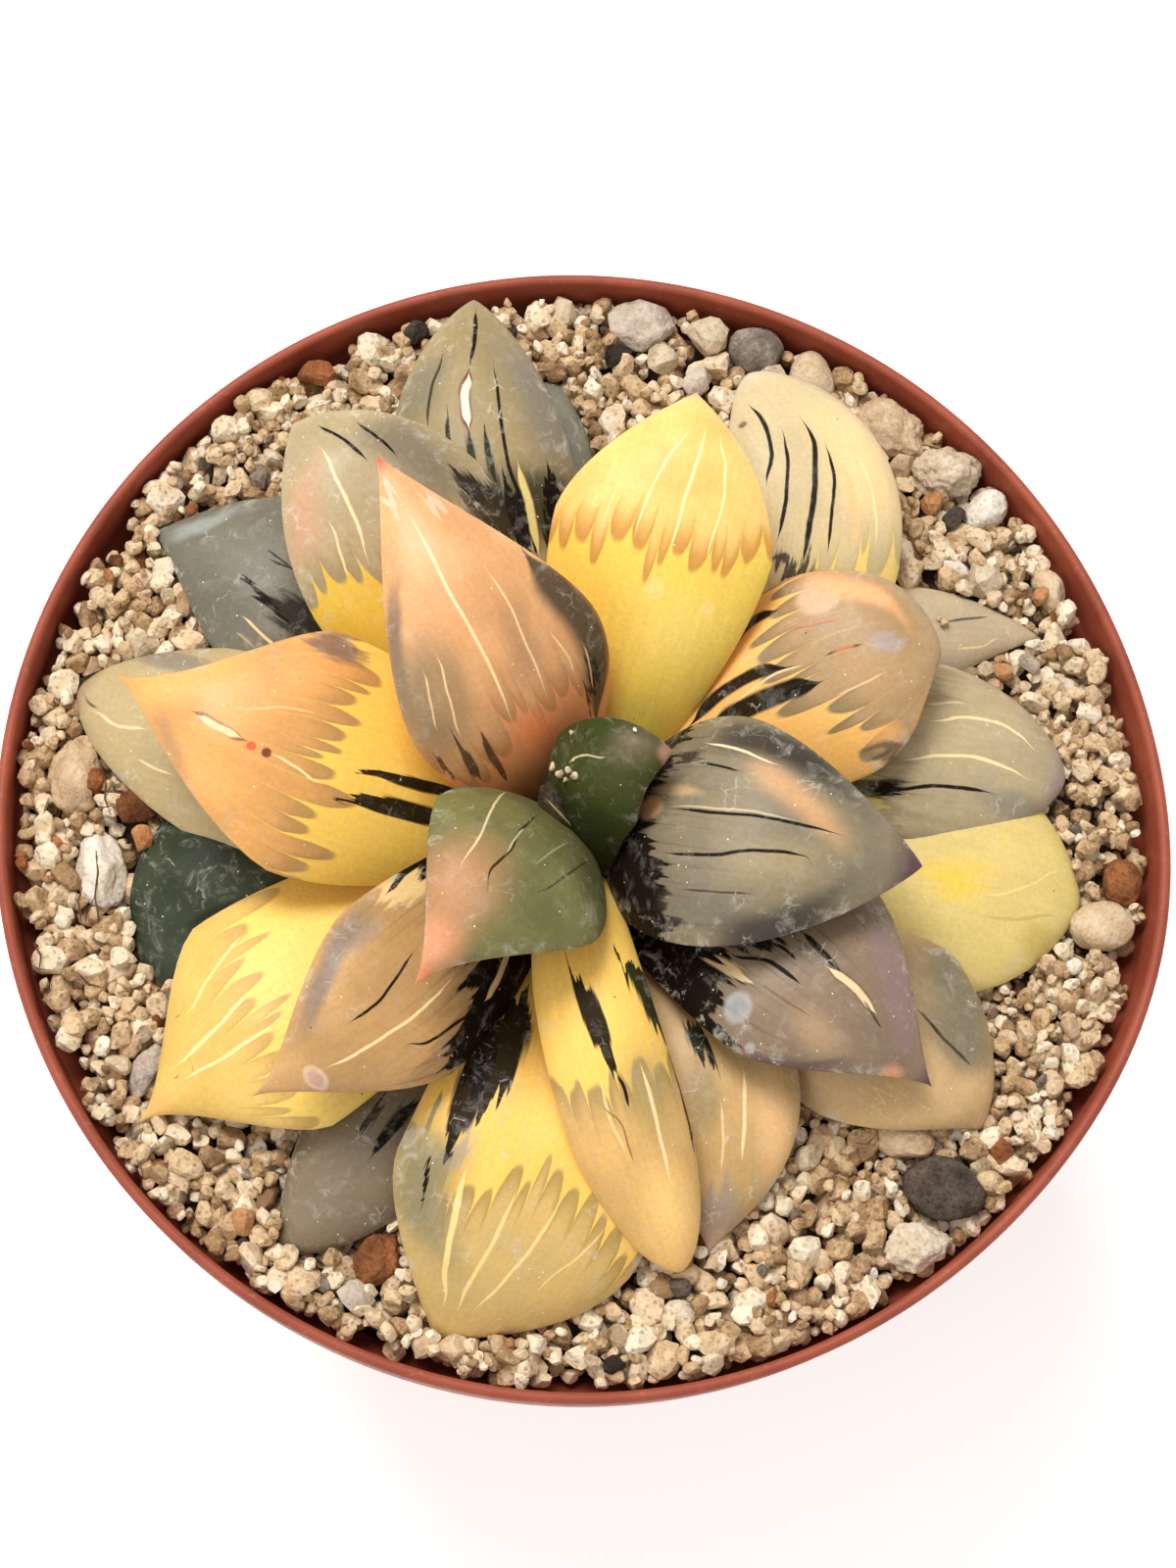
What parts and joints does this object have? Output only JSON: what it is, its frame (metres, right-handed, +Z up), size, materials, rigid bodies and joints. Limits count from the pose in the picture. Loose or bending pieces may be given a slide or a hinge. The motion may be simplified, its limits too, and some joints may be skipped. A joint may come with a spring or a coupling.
{
  "type": "potted haworthia",
  "caption": "Window-leaved succulent rosette in a round tapered nursery pot, top-dressed with pumice gravel and larger loose stones.",
  "frame": {"origin": "middle of the object's box seen from above, at the height of the surface that the pot's foot ring stands on", "axes": "+Z up along the pot's axis; the camera of the reference view stands over -Y; +X points to the slightly bulged side of the rim"},
  "size_m": [0.091, 0.09, 0.0866],
  "materials": {
    "pot_shell": "satin",
    "soil_mix": "matte",
    "stem_flesh": "matte",
    "pumice": "matte",
    "leaf_green": "satin",
    "leaf_peach": "satin",
    "leaf_yellow": "satin",
    "leaf_grey": "satin",
    "leaf_olive": "satin",
    "stone_grey": "matte",
    "stone_tan": "matte",
    "stone_pale": "matte",
    "stone_dark": "matte",
    "stone_red": "matte"
  },
  "bodies": {
    "root": {"pot": "pot_shell", "substrate": "soil_mix", "stem": "stem_flesh", "gravel_bed": "pumice", "leaf_01": "leaf_green", "leaf_02": "leaf_green", "leaf_03": "leaf_peach", "leaf_04": "leaf_yellow", "leaf_05": "leaf_grey", "leaf_06": "leaf_yellow", "leaf_07": "leaf_olive", "leaf_08": "leaf_yellow", "leaf_09": "leaf_grey", "leaf_10": "leaf_peach", "leaf_11": "leaf_yellow", "leaf_12": "leaf_yellow", "leaf_13": "leaf_olive", "leaf_14": "leaf_olive", "leaf_15": "leaf_yellow", "leaf_16": "leaf_grey", "leaf_17": "leaf_olive", "leaf_18": "leaf_green", "leaf_19": "leaf_grey", "leaf_20": "leaf_yellow", "leaf_21": "leaf_olive", "leaf_22": "leaf_olive", "leaf_23": "leaf_olive", "leaf_24": "leaf_peach", "leaf_25": "leaf_olive", "leaf_26": "leaf_green", "leaf_27": "leaf_green", "stone_01": "stone_grey", "stone_02": "stone_grey", "stone_03": "stone_tan", "stone_04": "stone_tan", "stone_05": "stone_pale", "stone_06": "stone_pale", "stone_07": "stone_red", "stone_08": "stone_tan", "stone_09": "stone_dark", "stone_10": "stone_pale", "stone_11": "stone_tan", "stone_12": "stone_red", "stone_13": "stone_tan", "stone_14": "stone_pale", "stone_15": "stone_grey", "stone_16": "stone_tan"}
  },
  "joints": []
}
